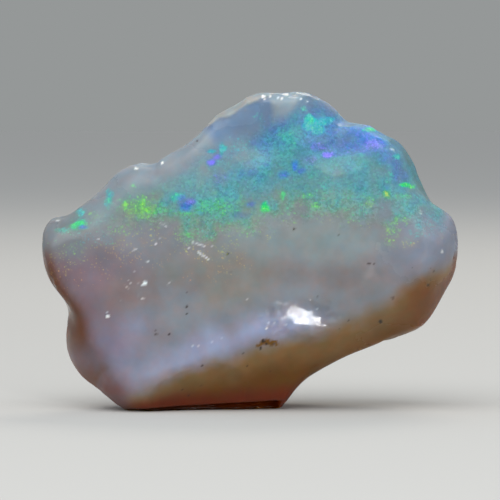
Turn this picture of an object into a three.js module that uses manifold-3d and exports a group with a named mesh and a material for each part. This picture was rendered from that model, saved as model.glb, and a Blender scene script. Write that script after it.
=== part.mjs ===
// A rough piece of opal: one translucent stone, broken from its seam and never cut or polished.
// It is a wedge-shaped slab. The broad front face leans back, a soft ridge crosses it low down,
// and under the ridge a flank turns back to the small broken facet that the stone stands on.
//
// Millimetres. +X runs to the right of the broad face, +Y into the stone, +Z up.
// The origin is on the ground, under the middle of the stone's box.

import * as THREE from "three";
import { mergeVertices } from "three/addons/utils/BufferGeometryUtils.js";
import { ImprovedNoise } from "three/addons/math/ImprovedNoise.js";
import Module from "manifold-3d";

// The middle of the stone, from which every point of its skin can be seen.
const HEART = new THREE.Vector3(-0.8, 0.2, 10.7);

// Half the stone's width, depth and height, which spread the mesh over the skin.
const HALF_SIZE = new THREE.Vector3(16, 7, 12);

// Cuts along one edge of the starting icosahedron, and the rounds that even out its triangles.
// A point's neighbours pull it more the further they lie round a bend, which draws it onto edges.
const MESH_DETAIL = 20;
const EVEN_OUT_ROUNDS = 24;
const BEND_PULL = 6;

// The outline as [x, z], seen square on to the broad face, clockwise from the left-hand bump.
const OUTLINE = [
  // left-hand bump
  [-16.0, 12.6], [-15.85, 13.75], [-15.1, 14.65], [-14.3, 14.6],
  // stepped upper left edge, as far as the notch
  [-13.3, 15.35], [-12.3, 16.1], [-11.15, 17.15], [-10.1, 18.15], [-8.3, 18.9], [-7.4, 18.6],
  // from the notch up to the crest
  [-6.75, 19.25], [-5.0, 20.25], [-3.6, 21.35], [-2.65, 22.45], [-1.15, 23.25], [0.0, 24.0],
  // crest
  [1.05, 24.25], [2.35, 24.2], [3.9, 24.3], [4.8, 24.2],
  // upper right edge, down its three steps
  [5.6, 23.8], [6.6, 23.05], [7.85, 21.6], [9.15, 21.85], [10.2, 21.05], [11.5, 20.3],
  [12.65, 18.55], [13.2, 17.1], [14.05, 15.55], [15.5, 14.5],
  // right-hand end
  [15.9, 13.0], [15.85, 11.55], [15.6, 10.3], [14.8, 8.8], [13.95, 7.3], [13.1, 6.35],
  // long lower edge that overhangs the ground
  [11.05, 5.7], [9.05, 4.6], [6.7, 3.6], [4.5, 2.4], [3.75, 1.5],
  // broken foot, which the ground cuts off flat
  [3.15, 0.6], [2.7, -0.4], [-3.0, -0.8], [-8.0, -0.7], [-9.9, 0.1],
  // lower left corner and the wavy left edge
  [-10.9, 1.0], [-11.9, 1.75], [-13.1, 2.75], [-14.0, 4.35], [-14.1, 6.15], [-13.95, 7.6],
  [-14.65, 9.0], [-15.6, 10.4],
];

// The rim is where the stone is widest. Every 30 degrees round it, counted from +X towards +Z:
// [how far back it lies, how much the wall in front of it slants in, and the wall behind it].
const RIM = [
  [-0.6, 0.45, 0.55], [0.2, 0.32, 0.6], [0.4, 0.45, 0.7],
  [0.1, 0.4, 0.85], [-0.2, 0.45, 0.6], [0.1, 0.5, 0.7],
  [-0.5, 0.45, 0.8], [-1.4, 0.5, 0.45], [-2.6, 0.5, 0.1],
  [-1.9, 0.6, 0.05], [-1.6, 0.5, 0.12], [-1.3, 0.5, 0.3],
];
const RIM_ROUNDING = 0.5;

// The waves of the outline run across the walls at a skew, in radians to the millimetre.
const WALL_SKEW = 0.03;

// The ridge climbs to the right across the front. Both faces beside it hold this line.
const RIDGE_START = new THREE.Vector3(-6.2, -5.0, 3.2);
const RIDGE_CLIMB = THREE.MathUtils.degToRad(19.7);
const FACE_LEAN = THREE.MathUtils.degToRad(12);
const FLANK_UNDERCUT = THREE.MathUtils.degToRad(28);

// A direction in front of the ridge, turned up from straight ahead by an angle.
function acrossRidge(angle) {
  const up = new THREE.Vector3(-Math.sin(RIDGE_CLIMB), 0, Math.cos(RIDGE_CLIMB));
  return up.multiplyScalar(Math.sin(angle)).add(new THREE.Vector3(0, -Math.cos(angle), 0));
}

// The broken faces: a point on each, its outward direction, and how softly it meets the others.
const FACES = [
  { at: RIDGE_START, out: acrossRidge(FACE_LEAN), blend: 0.9 },
  { at: RIDGE_START, out: acrossRidge(-FLANK_UNDERCUT), blend: 2.2 },
  // the lower lip of the flank, which lifts clear of the ground towards the right
  { at: [2.5, -1.2, 0], out: [0.14, -0.57, -0.81], blend: 0.4 },
  // broad back face, the face it turns under to, and the smaller ones round them
  { at: [0, 5.4, 8], out: [0.04, 0.98, 0.15], blend: 0.8 },
  { at: [0, 5.0, 2], out: [-0.05, 0.95, -0.3], blend: 1.0 },
  { at: [11, 4.6, 5.2], out: [0.35, 0.6, -0.72], blend: 0.8 },
  { at: [-11, 4.2, 9], out: [-0.55, 0.83, 0.1], blend: 0.6 },
  { at: [11.5, 3.9, 12], out: [0.5, 0.85, 0.15], blend: 0.6 },
  { at: [2, 3.7, 19], out: [0.1, 0.86, 0.5], blend: 0.6 },
];

// Shell-shaped hollows where flakes broke away: a point on the skin above each one's deepest
// part, its outward direction, the radius of its bowl, its depth, and how soft its edge is.
const HOLLOWS = [
  // on the broad face: either side of the pale tongue under the crest
  { at: [0.0, -2.0, 20.9], out: [-0.02, -1, 0.2], radius: 7, depth: 0.48, edge: 0.25 },
  { at: [5.6, -2.3, 20.4], out: [0.1, -1, 0.25], radius: 7, depth: 0.4, edge: 0.25 },
  // under the left-hand bump, and the wide dip in the middle of the face
  { at: [-10.4, -3.1, 14.2], out: [-0.1, -1, 0.2], radius: 18, depth: 0.34, edge: 0.3 },
  { at: [-1.5, -3.7, 12.3], out: [0, -1, 0.2], radius: 42, depth: 0.3, edge: 0.5 },
  // scoop above the lower left corner, which leaves the corner as a lobe of its own
  { at: [-12.6, -3.3, 3.3], out: [-0.4, -0.85, -0.3], radius: 4.2, depth: 0.45, edge: 0.4 },
  // right-hand end: the long bevel and the small facet under it
  { at: [12.2, -2.4, 18.1], out: [0.68, -0.66, 0.32], radius: 14, depth: 0.45, edge: 0.25 },
  { at: [15.0, -3.0, 9.8], out: [0.6, -0.75, -0.3], radius: 9, depth: 0.4, edge: 0.25 },
  // in the flank, over the foot
  { at: [0.6, -3.1, 1.7], out: [0.1, -0.85, -0.5], radius: 13, depth: 0.32, edge: 0.4 },
  // on the back
  { at: [-5.0, 5.3, 13.5], out: [-0.15, 1, 0.1], radius: 18, depth: 1.0, edge: 0.25 },
  { at: [7.2, 4.8, 15.5], out: [0.25, 1, 0.25], radius: 14, depth: 0.9, edge: 0.25 },
  { at: [4.0, 5.5, 7.8], out: [0.1, 1, 0], radius: 13, depth: 0.6, edge: 0.25 },
  { at: [-11.4, 3.7, 6.0], out: [-0.6, 0.8, -0.1], radius: 11, depth: 0.8, edge: 0.25 },
  { at: [13.3, 2.9, 11.5], out: [0.6, 0.8, 0.05], radius: 10, depth: 0.45, edge: 0.25 },
  { at: [-11.5, 2.2, 15.0], out: [-0.5, 0.7, 0.6], radius: 9, depth: 0.6, edge: 0.25 },
  // along the top and under the overhang
  { at: [-5.6, 1.0, 19.6], out: [-0.4, 0.5, 0.8], radius: 8, depth: 0.45, edge: 0.25 },
  { at: [8.8, 1.4, 21.2], out: [0.45, 0.6, 0.7], radius: 8, depth: 0.5, edge: 0.25 },
  { at: [8.0, 0.8, 4.1], out: [0.35, 0.0, -0.9], radius: 10, depth: 0.4, edge: 0.3 },
];

// Low swells that keep any face from being quite flat: the length of each and its height.
const SWELLS = [
  { length: 6.5, height: 0.32 },
  { length: 2.6, height: 0.1 },
];

// The flat that the ground leaves on the foot is cut with this block, centred below the stone.
const GROUND_BLOCK = 60;

const OPAL_COLOUR = 0xaab0bf;
const OPAL_ROUGHNESS = 0.18;

// Largest of two distances, with the corner between them rounded over a width.
function roundedMax(a, b, width) {
  const overlap = Math.max(width - Math.abs(a - b), 0);
  return Math.max(a, b) + (overlap * overlap) / (4 * width);
}

// A function that gives the outline's radius from the heart in any direction round it.
function outlineRadius() {
  const points = OUTLINE.map(([x, z]) => new THREE.Vector3(x, z, 0));
  const curve = new THREE.CatmullRomCurve3(points, true, "centripetal");
  const STEPS_PER_POINT = 8;
  const around = curve.getPoints(points.length * STEPS_PER_POINT).map((p) => {
    const x = p.x - HEART.x;
    const z = p.y - HEART.z;
    return { angle: Math.atan2(z, x), radius: Math.hypot(x, z) };
  });
  around.pop(); // the curve is closed, so its last point is its first
  around.sort((a, b) => a.angle - b.angle);
  const first = around[0];
  const last = around[around.length - 1];
  around.unshift({ angle: last.angle - 2 * Math.PI, radius: last.radius });
  around.push({ angle: first.angle + 2 * Math.PI, radius: first.radius });
  return (angle) => {
    const turned = THREE.MathUtils.euclideanModulo(angle + Math.PI, 2 * Math.PI) - Math.PI;
    const next = around.findIndex((p) => p.angle > turned);
    const a = around[next - 1];
    const b = around[next];
    return THREE.MathUtils.mapLinear(turned, a.angle, b.angle, a.radius, b.radius);
  };
}

// A function that gives the rim's place and slants at any angle, from the stations in RIM.
function rimAround() {
  const stations = RIM.map(([back, front, behind]) => new THREE.Vector3(back, front, behind));
  const curve = new THREE.CatmullRomCurve3(stations, true, "catmullrom", 0.5);
  return (angle) => {
    const { x, y, z } = curve.getPoint((angle / (2 * Math.PI) + 1) % 1);
    return { back: x, frontSlant: y, backSlant: z };
  };
}

// A function that gives about how far a point lies outside the stone, and less than 0 inside.
function stoneDistance() {
  const radiusAt = outlineRadius();
  const rimAt = rimAround();
  const noise = new ImprovedNoise();
  const faces = FACES.map(({ at, out, blend }) => ({
    plane: new THREE.Plane().setFromNormalAndCoplanarPoint(
      new THREE.Vector3(...out).normalize(),
      new THREE.Vector3(...at),
    ),
    blend,
  }));
  const bowls = HOLLOWS.map(({ at, out, radius, depth, edge }) => ({
    centre: new THREE.Vector3(...out).setLength(radius - depth).add(new THREE.Vector3(...at)),
    radius,
    edge,
  }));

  return (p) => {
    let swell = 0;
    for (const { length, height } of SWELLS) {
      swell += height * noise.noise(p.x / length, p.y / length, p.z / length);
    }
    const x = p.x - HEART.x;
    const z = p.z - HEART.z;
    const angle = Math.atan2(z, x);
    const { back, frontSlant, backSlant } = rimAt(angle);
    const depth = Math.hypot(p.y - back, RIM_ROUNDING) - RIM_ROUNDING;
    const slant = p.y < back ? frontSlant : backSlant;
    const skewed = angle + WALL_SKEW * (p.y - back);
    const wall = Math.hypot(x, z) - radiusAt(skewed) + slant * depth;
    let distance = (wall + swell * Math.min(depth, 1)) / Math.hypot(1, slant);
    for (const { plane, blend } of faces) {
      distance = roundedMax(distance, plane.distanceToPoint(p) + swell, blend);
    }
    for (const { centre, radius, edge } of bowls) {
      distance = roundedMax(distance, radius - p.distanceTo(centre), edge);
    }
    return distance;
  };
}

// The first point of the skin straight out from the heart, walked up to in shortening steps.
function skinPoint(direction, distanceAt) {
  const MOST_STEPS = 60;
  const SHARE_OF_DISTANCE = 0.85;
  const CLOSE_ENOUGH = 1e-4;
  const ray = new THREE.Ray(HEART, direction);
  const p = new THREE.Vector3();
  let walked = 0;
  for (let step = 0; step < MOST_STEPS; step += 1) {
    const left = -distanceAt(ray.at(walked, p));
    if (left < CLOSE_ENOUGH) break;
    walked += SHARE_OF_DISTANCE * left;
  }
  return ray.at(walked, p);
}

// The direction straight out of the skin at a point, from distances a little way to each side.
function skinNormal(point, distanceAt) {
  const REACH = 0.15;
  const normal = new THREE.Vector3();
  const nearby = new THREE.Vector3();
  for (const axis of ["x", "y", "z"]) {
    nearby.copy(point)[axis] += REACH;
    const ahead = distanceAt(nearby);
    nearby[axis] -= 2 * REACH;
    normal[axis] = ahead - distanceAt(nearby);
  }
  return normal.normalize();
}

// The whole skin: an icosahedron's net drawn onto the stone, with its triangles evened out.
function skinGeometry() {
  const distanceAt = stoneDistance();
  const net = new THREE.IcosahedronGeometry(1, MESH_DETAIL);
  net.deleteAttribute("normal");
  net.deleteAttribute("uv");
  const skin = mergeVertices(net);
  const index = skin.index.array;
  let points = [];
  for (let i = 0; i < skin.attributes.position.count; i += 1) {
    const direction = new THREE.Vector3()
      .fromBufferAttribute(skin.attributes.position, i)
      .multiply(HALF_SIZE)
      .normalize();
    points.push(skinPoint(direction, distanceAt));
  }

  const neighbours = points.map(() => new Set());
  for (let i = 0; i < index.length; i += 3) {
    for (let corner = 0; corner < 3; corner += 1) {
      neighbours[index[i + corner]].add(index[i + ((corner + 1) % 3)]);
    }
  }
  for (let round = 0; round < EVEN_OUT_ROUNDS; round += 1) {
    const normals = points.map((point) => skinNormal(point, distanceAt));
    points = points.map((point, i) => {
      const mean = new THREE.Vector3();
      let total = 0;
      for (const n of neighbours[i]) {
        const pull = 1 + BEND_PULL * (1 - normals[i].dot(normals[n]));
        mean.addScaledVector(points[n], pull);
        total += pull;
      }
      return skinPoint(mean.divideScalar(total).sub(HEART).normalize(), distanceAt);
    });
  }
  skin.setAttribute("position", new THREE.Float32BufferAttribute(points.flatMap((p) => [...p]), 3));
  return skin;
}

// A geometry of merged vertices as a solid, for cutting.
function toSolid(wasm, geometry) {
  return new wasm.Manifold(
    new wasm.Mesh({
      numProp: 3,
      vertProperties: new Float32Array(geometry.attributes.position.array),
      triVerts: new Uint32Array(geometry.index.array),
    }),
  );
}

// The stone, cut off flat where it stands on the ground.
async function stoneGeometry() {
  const wasm = await Module();
  wasm.setup();
  const ground = new THREE.BoxGeometry(GROUND_BLOCK, GROUND_BLOCK, GROUND_BLOCK);
  ground.translate(0, 0, -GROUND_BLOCK / 2);
  ground.deleteAttribute("normal");
  ground.deleteAttribute("uv");
  const skin = toSolid(wasm, skinGeometry());
  const cut = skin.subtract(toSolid(wasm, mergeVertices(ground))).getMesh();

  const geometry = new THREE.BufferGeometry();
  geometry.setAttribute("position", new THREE.BufferAttribute(cut.vertProperties, cut.numProp));
  geometry.setIndex(new THREE.BufferAttribute(cut.triVerts, 1));
  geometry.computeBoundingBox();
  const middle = geometry.boundingBox.getCenter(new THREE.Vector3());
  geometry.translate(-middle.x, -middle.y, 0);
  geometry.computeVertexNormals();
  return geometry;
}

const material = new THREE.MeshStandardMaterial({
  color: OPAL_COLOUR,
  roughness: OPAL_ROUGHNESS,
  metalness: 0,
});
const stone = new THREE.Mesh(await stoneGeometry(), material);
stone.name = "opal_stone";

const opal = new THREE.Group();
opal.add(stone);

export default opal;
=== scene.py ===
# %% [markdown]
# # A rough opal
# The object is one natural stone: a piece of milky, translucent opal, broken from its seam and
# never cut. It could be sculpted by hand, or scanned. Here its plain solid, which already has
# the right faces, hollows and foot, is copied and given a finer skin, then ledges, chips and
# ripples, and at last a material whose colours lie in a layer across the stone.

import math
import random

import bmesh
import bpy
import numpy as np
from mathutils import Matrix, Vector, noise


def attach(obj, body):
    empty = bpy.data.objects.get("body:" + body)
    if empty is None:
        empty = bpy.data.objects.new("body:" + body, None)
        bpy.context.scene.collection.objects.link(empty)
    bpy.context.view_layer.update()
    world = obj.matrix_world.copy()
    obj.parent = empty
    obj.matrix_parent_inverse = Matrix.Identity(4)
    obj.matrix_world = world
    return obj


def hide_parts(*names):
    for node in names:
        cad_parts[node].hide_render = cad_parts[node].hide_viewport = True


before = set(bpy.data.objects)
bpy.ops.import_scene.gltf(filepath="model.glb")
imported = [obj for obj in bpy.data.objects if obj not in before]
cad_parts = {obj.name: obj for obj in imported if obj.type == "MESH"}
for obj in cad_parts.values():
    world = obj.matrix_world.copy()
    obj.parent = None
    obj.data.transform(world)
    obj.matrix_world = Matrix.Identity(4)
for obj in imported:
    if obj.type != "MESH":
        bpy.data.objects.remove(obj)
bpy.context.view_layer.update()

MM = 0.001
scene = bpy.context.scene

# %% [markdown]
# ## Camera
# The photograph was taken from just above the table's level, square on to the broad face and
# from far enough away that the stone shows almost no perspective. A long lens does the same.
# Its focal length follows from how many millimetres one pixel covers at the stone.

# %% Camera
PICTURE_PIXELS = 500
MM_PER_PIXEL = 0.0769
CAMERA_DISTANCE = 250 * MM
CAMERA_RISE = math.radians(2.5)
SENSOR_WIDTH = 36.0
STONE_MIDDLE = Vector((0, 0, 12.1)) * MM


def towards(azimuth, elevation):
    """The direction from the stone to a place round it: 0 is in front, and 90 to the right."""
    a, e = math.radians(azimuth), math.radians(elevation)
    return Vector((math.sin(a) * math.cos(e), -math.cos(a) * math.cos(e), math.sin(e)))


def aim(thing, direction, distance):
    """Puts a camera or a light at a distance from the stone's middle, facing it."""
    thing.location = STONE_MIDDLE + direction * distance
    thing.rotation_euler = (-direction).to_track_quat("-Z", "Y").to_euler()
    scene.collection.objects.link(thing)


camera_data = bpy.data.cameras.new("camera")
camera_data.sensor_width = SENSOR_WIDTH
camera_data.lens = SENSOR_WIDTH * CAMERA_DISTANCE / (PICTURE_PIXELS * MM_PER_PIXEL * MM)
camera_data.clip_start = 10 * MM
camera_data.clip_end = 10.0
camera = bpy.data.objects.new("camera", camera_data)
aim(camera, towards(0, math.degrees(CAMERA_RISE)), CAMERA_DISTANCE)
scene.camera = camera
print("lens, in mm:", round(camera_data.lens, 1))

# %% [markdown]
# ## Colours and nodes
# Colours are written as the hex values that a screen shows, and one function turns them into
# the linear light that shaders add up. One other function adds a node with its settings and
# links, so that a material reads as a list of what it is made of.


# %% Helpers for colours and nodes
def linear(hex_colour):
    """The linear RGBA of an sRGB colour written as hex."""
    channels = [int(hex_colour[i:i + 2], 16) / 255 for i in (1, 3, 5)]
    return (*[c / 12.92 if c <= 0.04045 else ((c + 0.055) / 1.055) ** 2.4 for c in channels], 1)


def add(tree, kind, inputs=None, stops=(), **settings):
    """Adds a node. inputs gives sockets a value or another node's output, stops are a ramp's."""
    node = tree.nodes.new(kind)
    for name, value in settings.items():
        setattr(node, name, value)
    for socket, value in (inputs or {}).items():
        if isinstance(value, bpy.types.NodeSocket):
            tree.links.new(value, node.inputs[socket])
        else:
            node.inputs[socket].default_value = value
    for i, (place, colour) in enumerate(stops):
        elements = node.color_ramp.elements
        stop = elements[i] if i < 2 else elements.new(place)
        stop.position = place
        stop.color = linear(colour)
    return node


# %% [markdown]
# ## Floor and light
# A gemstone is shown on something plain. The floor is a wide pale disc, and the air round it
# gives soft light from all sides. The air is dim at the horizon, as the far floor is, so that
# no line shows where they meet. A large soft box above and in front lights the broad face, a
# small one close over the camera makes the wet highlight on the ridge, and one behind shines
# into the thin edges, which glow because opal lets light through.

# %% Floor
FLOOR_RADIUS = 3.0
FLOOR_SIDES = 96
# The floor lies a hair below the stone, so that the two don't share a surface.
FLOOR_GAP = 0.01 * MM
FLOOR_COLOUR = "#c9c9c6"
FLOOR_ROUGHNESS = 0.9

floor_mesh = bpy.data.meshes.new("floor")
floor_bm = bmesh.new()
bmesh.ops.create_circle(floor_bm, cap_ends=True, segments=FLOOR_SIDES, radius=FLOOR_RADIUS)
floor_bm.to_mesh(floor_mesh)
floor_bm.free()
floor = bpy.data.objects.new("floor", floor_mesh)
floor.location.z = -FLOOR_GAP
scene.collection.objects.link(floor)

floor_material = bpy.data.materials.new("matt_card")
floor_material.use_nodes = True
floor_shader = floor_material.node_tree.nodes["Principled BSDF"]
floor_shader.inputs["Base Color"].default_value = linear(FLOOR_COLOUR)
floor_shader.inputs["Roughness"].default_value = FLOOR_ROUGHNESS
floor_shader.inputs["Specular IOR Level"].default_value = 0.0
floor_mesh.materials.append(floor_material)
print("floor, in m across:", 2 * FLOOR_RADIUS)

# %% Air
# The ramp reads the sine of the height above the horizon: it is dim up to the one angle and
# pale from the other.
HORIZON_COLOUR = "#959898"
SKY_COLOUR = "#c3c6ca"
HORIZON_TOP = math.sin(math.radians(6))
SKY_START = math.sin(math.radians(32))

world = bpy.data.worlds.new("air")
world.use_nodes = True
air = world.node_tree
upward = add(air, "ShaderNodeTexCoord").outputs["Generated"]
upward = add(air, "ShaderNodeSeparateXYZ", {"Vector": upward}).outputs["Z"]
air_colour = add(air, "ShaderNodeValToRGB", {"Fac": upward},
                 stops=[(HORIZON_TOP, HORIZON_COLOUR), (SKY_START, SKY_COLOUR)])
air.links.new(air_colour.outputs["Color"], air.nodes["Background"].inputs["Color"])
scene.world = world

# %% Soft boxes
# Each has its direction as azimuth and elevation, its distance, width and height in mm, how
# bright its face is, and its colour.
SOFT_BOXES = {
    "overhead": (-20, 60, 460, 520, 400, 2.2, "#ffffff"),
    "over_camera": (19, 9, 320, 44, 40, 44.0, "#ffffff"),
    "behind": (160, 50, 420, 200, 120, 4.5, "#fff4e6"),
}

for name, (azimuth, elevation, distance, width, height, brightness, colour) in SOFT_BOXES.items():
    light = bpy.data.lights.new(name, "AREA")
    light.shape = "RECTANGLE"
    light.size = width * MM
    light.size_y = height * MM
    light.energy = brightness * math.pi * light.size * light.size_y
    light.color = linear(colour)[:3]
    soft_box = bpy.data.objects.new(name, light)
    soft_box.visible_camera = False
    aim(soft_box, towards(azimuth, elevation), distance * MM)
    print(name, "soft box, in watts:", round(light.energy, 4))

scene.view_settings.view_transform = "Standard"

# %% [markdown]
# ## A finer skin
# The solid is made of flat triangles two thirds of a millimetre across. Its loose triangles are
# merged, the skin is laid again as an even net of small squares, and a dozen rounds of smoothing
# take out the flats. Its squares are about two pixels of the picture wide, which is as fine as
# one piece may be. Subdividing the flat triangles instead would have kept their corners.

# %% A finer skin
NET_SIZE = 0.147 * MM
JOIN_REACH = 0.0005 * MM
SMOOTH_ROUNDS = 12


def stone_copy():
    """A copy of the solid's mesh with its triangles joined at their corners."""
    bm = bmesh.new()
    bm.from_mesh(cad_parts["opal_stone"].data)
    bmesh.ops.remove_doubles(bm, verts=bm.verts, dist=JOIN_REACH)
    mesh = bpy.data.meshes.new("rough_opal")
    bm.to_mesh(mesh)
    bm.free()
    return mesh


def with_modifier(mesh, kind, **settings):
    """A new mesh: the given one with a modifier applied."""
    thing = bpy.data.objects.new("in_work", mesh)
    scene.collection.objects.link(thing)
    modifier = thing.modifiers.new("in_work", kind)
    for name, value in settings.items():
        setattr(modifier, name, value)
    bpy.context.view_layer.update()
    finished = thing.evaluated_get(bpy.context.evaluated_depsgraph_get())
    result = bpy.data.meshes.new_from_object(finished)
    bpy.data.objects.remove(thing)
    return result


def smoothed(mesh, rounds):
    """A new mesh: the given one, a little rounder for every round."""
    return with_modifier(mesh, "SMOOTH", factor=0.5, iterations=rounds)


net = with_modifier(stone_copy(), "REMESH", mode="VOXEL", voxel_size=NET_SIZE)
net = smoothed(net, SMOOTH_ROUNDS)
print("net:", len(net.vertices), "points,", len(net.polygons), "squares")

# %% [markdown]
# ## Working on all points at once
# The skin is changed as arrays of points and directions, in millimetres. A smooth step turns a
# measure into a mask from 0 to 1, and a noise field gives every point a soft random number.


# %% Helpers for the points
# The noise is a sum of layers: how their strength falls, how much finer each is, and how many.
NOISE_FALL, NOISE_STEP, NOISE_LAYERS = 0.9, 2.0, 3


def points_of(mesh):
    """Every point of a mesh, in mm."""
    flat = np.empty(len(mesh.vertices) * 3)
    mesh.vertices.foreach_get("co", flat)
    return flat.reshape(-1, 3) / MM


def directions_of(mesh):
    """The direction straight out of the skin at every point."""
    flat = np.empty(len(mesh.vertices) * 3)
    mesh.vertex_normals.foreach_get("vector", flat)
    return flat.reshape(-1, 3)


def set_points(mesh, points):
    """Moves every point of a mesh to a place in mm."""
    mesh.vertices.foreach_set("co", (points * MM).ravel())
    mesh.update()


def step(low, high, values):
    """0 below low, 1 above high and a smooth rise between. low may be the greater one."""
    t = np.clip((values - low) / (high - low), 0, 1)
    return t * t * (3 - 2 * t)


def noise_at(points, size, seed):
    """Soft noise between about -1 and 1 at every point, with lumps of a size in mm."""
    # Every seed reads another part of the noise.
    offset = Vector((seed * 17.3, seed * 5.1, seed * 9.7))
    return np.array([
        noise.fractal(Vector(point) / size + offset, NOISE_FALL, NOISE_STEP, NOISE_LAYERS,
                      noise_basis="PERLIN_ORIGINAL")
        for point in points
    ])


# %% [markdown]
# ## Ledges and shells
# Opal has no grain, so it breaks as glass does. Where two breaks meet at a step there is a
# ledge: here a line is drawn on the broad face, and the skin on one side of it is pressed in,
# sharply at the line and then less and less. Where a flake sprang off there is a shallow
# shell, which is a piece of a ball: every point inside the ball is pushed out onto it.

# %% Places as the camera sees them
# Every mark on the front is placed where the photograph shows it: x and z in mm, on a plane
# that faces the camera through the middle of the stone.


def as_seen(points):
    """Where the camera sees each point on that plane."""
    middle = np.array(STONE_MIDDLE) / MM
    distance = CAMERA_DISTANCE / MM
    right, back, up = (points - middle).T
    depth = distance + back * math.cos(CAMERA_RISE) - up * math.sin(CAMERA_RISE)
    height = up * math.cos(CAMERA_RISE) + back * math.sin(CAMERA_RISE)
    return np.column_stack((right, height)) * (distance / depth)[:, None] + middle[[0, 2]]


def across_line(seen, line):
    """How far each place lies to the right of a line, and how far past its ends."""
    nearest = np.full(len(seen), np.inf)
    side = np.zeros(len(seen))
    past_end = np.zeros(len(seen))
    last = len(line) - 2
    for i, (start, end) in enumerate(zip(line, line[1:])):
        along = np.subtract(end, start)
        length = np.hypot(*along)
        along = along / length
        offset = seen - start
        travel = offset @ along
        rest = offset - np.clip(travel, 0, length)[:, None] * along
        reach = np.hypot(rest[:, 0], rest[:, 1])
        closer = reach < nearest
        turn = offset[:, 0] * along[1] - offset[:, 1] * along[0]
        beyond = np.zeros(len(seen))
        if i == 0:
            beyond = np.maximum(beyond, -travel)
        if i == last:
            beyond = np.maximum(beyond, travel - length)
        nearest[closer] = reach[closer]
        side[closer] = np.sign(turn[closer])
        past_end[closer] = beyond[closer]
    return side * nearest, past_end


# %% Ledges on the broad face
# Each line comes with a depth, a run, a wall and a fade, all in mm. The skin to its right drops
# by the depth, which fades over the run. The step at the line is as wide as the wall, and it
# dies away past the line's ends over the fade. A negative depth drops the skin to its left.
LEDGES = {
    "crest, left": ([(-3.1, 21.75), (-2.4, 22.25), (-1.55, 22.4), (-1.15, 22.7), (-0.75, 23.0),
                     (-0.2, 23.3), (0.4, 23.55), (0.95, 23.8), (1.25, 23.95)], 0.14, 2.8, 0.2, 2.0),
    "tongue, left": ([(1.3, 23.85), (1.6, 23.5), (1.8, 22.85), (1.75, 22.2)], 0.03, 1.6, 0.5, 1.0),
    "tongue, right": ([(4.0, 23.85), (3.7, 23.4), (3.4, 22.85), (2.85, 22.2), (2.3, 21.5)],
                      -0.05, 2.4, 0.6, 1.0),
    "crest, right": ([(5.2, 22.8), (6.5, 22.75)], 0.05, 1.2, 0.2, 0.6),
    "right bevel": ([(10.0, 21.1), (10.75, 20.2), (11.5, 19.65), (12.0, 18.65), (12.4, 17.65),
                     (12.85, 16.7), (13.45, 15.95)], -0.07, 2.0, 0.5, 1.0),
    "left bevel": ([(-13.9, 8.2), (-14.1, 10.4), (-14.25, 12.4), (-14.3, 14.0)],
                   -0.05, 2.0, 0.6, 1.1),
    "corner fold": ([(-11.5, 1.3), (-11.4, 2.1), (-11.15, 2.5), (-10.75, 2.7), (-10.15, 2.9),
                     (-9.6, 3.15)], -0.09, 2.4, 0.6, 0.8),
    "right end": ([(15.5, 11.2), (15.15, 10.2), (14.6, 9.5), (14.3, 8.85), (14.15, 8.2),
                   (13.9, 7.5), (13.3, 6.9)], -0.05, 1.8, 0.7, 0.8),
}
# How far the skin must face the front for a ledge to start, and for it to be full: 0 is sideways
# and 1 is straight to the front.
FRONT = (0.15, 0.5)


def press_ledge(points, directions, line, depth, run, wall, fade):
    """Lowers the front of the skin on one side of a line."""
    right, past_end = across_line(as_seen(points), line)
    lowered = right * np.sign(depth)
    front = step(*FRONT, -directions[:, 1])
    mask = step(-wall / 2, wall / 2, lowered) * (1 - step(0, run, lowered))
    mask *= front * (1 - step(0, fade, past_end))
    points -= directions * (abs(depth) * mask)[:, None]


# %% The worn side
# The lower left side is worn: there the skin is drawn towards a much smoother copy of itself.
# The wear begins at the first of each two measures, in mm, and is full at the second.
WORN_ROUNDS = 130
WORN_LEFT_OF = (-9.5, -12.0)
WORN_BELOW = (9.5, 7.5)
WORN_FRONT = (0.1, 0.6)

points = points_of(net)
seen = as_seen(points)
leaning = seen[:, 0] + 0.3 * seen[:, 1] - 2.0
worn = step(*WORN_LEFT_OF, leaning) * step(*WORN_BELOW, seen[:, 1])
worn *= step(*WORN_FRONT, -directions_of(net)[:, 1])
smoother = points_of(smoothed(net, WORN_ROUNDS))
points += (smoother - points) * worn[:, None]
set_points(net, points)
print(f"worn: {worn.mean():.2f} of the skin")

# %% Press the ledges
directions = directions_of(net)
for line, *sizes in LEDGES.values():
    press_ledge(points, directions, line, *sizes)
set_points(net, points)
print(len(LEDGES), "ledges")

# %% Shells
# Each lies where the skin comes nearest to a point x, y, z in mm. Then come the direction that
# it faces, the radius of its ball and its depth. They give the ridge and the flank their scallops.
SHELLS = [
    ((-0.5, -6, 2.4), (-0.1, -0.8, -0.60), 12.0, 0.05),
    ((6.5, -6, 5.2), (0.1, -0.8, -0.60), 12.0, 0.08),
]
# How softly a shell or a chip meets the skin round it, as a share of its depth.
SHELL_SOFTNESS = 1.2
CHIP_SOFTNESS = 0.6


def press_shell(points, skin, facing, radius, depth, softness, share=1.0):
    """Pushes the points inside a ball onto it. The ball dips a depth below a place on the skin."""
    centre = np.array(skin + Vector(facing).normalized() * (radius - depth))
    offset = points - centre
    reach = np.linalg.norm(offset, axis=1)
    edge = softness * depth
    overlap = np.clip(edge - np.abs(radius - reach), 0, None)
    pushed = np.maximum(reach, radius) + overlap ** 2 / (4 * edge)
    points += share * (centre + offset * (pushed / reach)[:, None] - points)


for place, facing, radius, depth in SHELLS:
    nearest = np.argmin(np.linalg.norm(points - place, axis=1))
    press_shell(points, Vector(points[nearest]), facing, radius, depth, SHELL_SOFTNESS)
set_points(net, points)
print(len(SHELLS), "shells")

# %% [markdown]
# ## The facet that catches the light
# One small flat on the ridge reflects a lamp as a white spot. It faces the soft box over the
# camera, and the points near it are brought onto its plane. A texture could paint the spot, but
# a real flat also moves its reflection when the stone is turned.

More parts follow.
